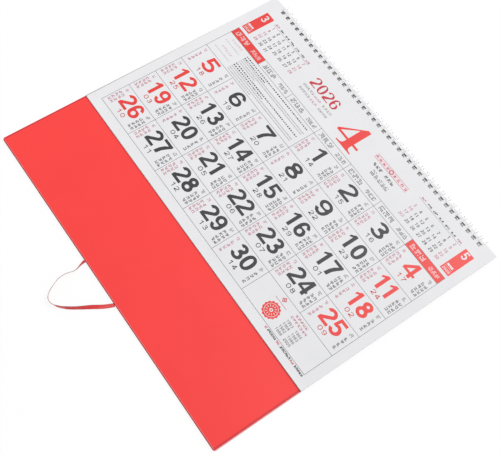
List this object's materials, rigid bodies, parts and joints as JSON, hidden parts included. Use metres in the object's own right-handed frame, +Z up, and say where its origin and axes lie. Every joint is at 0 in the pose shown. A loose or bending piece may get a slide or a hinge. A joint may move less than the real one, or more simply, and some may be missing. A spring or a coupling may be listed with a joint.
{
  "type": "wall calendar",
  "caption": "Wire-bound wall calendar, folded: month sheets turned back on a stiff red hanger board with a ribbon loop for a nail.",
  "frame": {"origin": "middle of the underside of the box around the folded calendar, without its ribbon loop, as it lies on a table", "axes": "+X across the calendar along the bound edge, +Y from the ribbon edge to the bound edge, +Z up from the table"},
  "size_m": [0.3718, 0.3913, 0.0106],
  "materials": {
    "red_wrapped_board": "stiff board wrapped in smooth red paper with a satin film",
    "red_lining_paper": "smooth red lining paper, satin",
    "white_wire": "white nylon-coated steel wire, satin",
    "red_ribbon": "narrow woven satin ribbon",
    "white_sheet_paper": "uncoated white printing paper, matt",
    "grey_ink": "thin printed lines, matt",
    "red_ink": "printed red, matt",
    "dark_ink": "printed dark grey, matt"
  },
  "bodies": {
    "hanger": {"hanger_board": "red_wrapped_board", "back_lining": "red_lining_paper", "binding_wire": "white_wire", "hanging_ribbon": "red_ribbon"},
    "sheets": {"month_sheets": "white_sheet_paper", "printed_rules": "grey_ink", "printed_fields": "red_ink", "printed_working_days": "dark_ink", "printed_days_off": "red_ink"}
  },
  "joints": [
    {"name": "sheets_turn", "type": "hinge", "parent": "hanger", "child": "sheets", "pos_m": [0, 0.16597, 0.00523], "axis": [-1, 0, 0], "range_deg": [0, 180]}
  ]
}
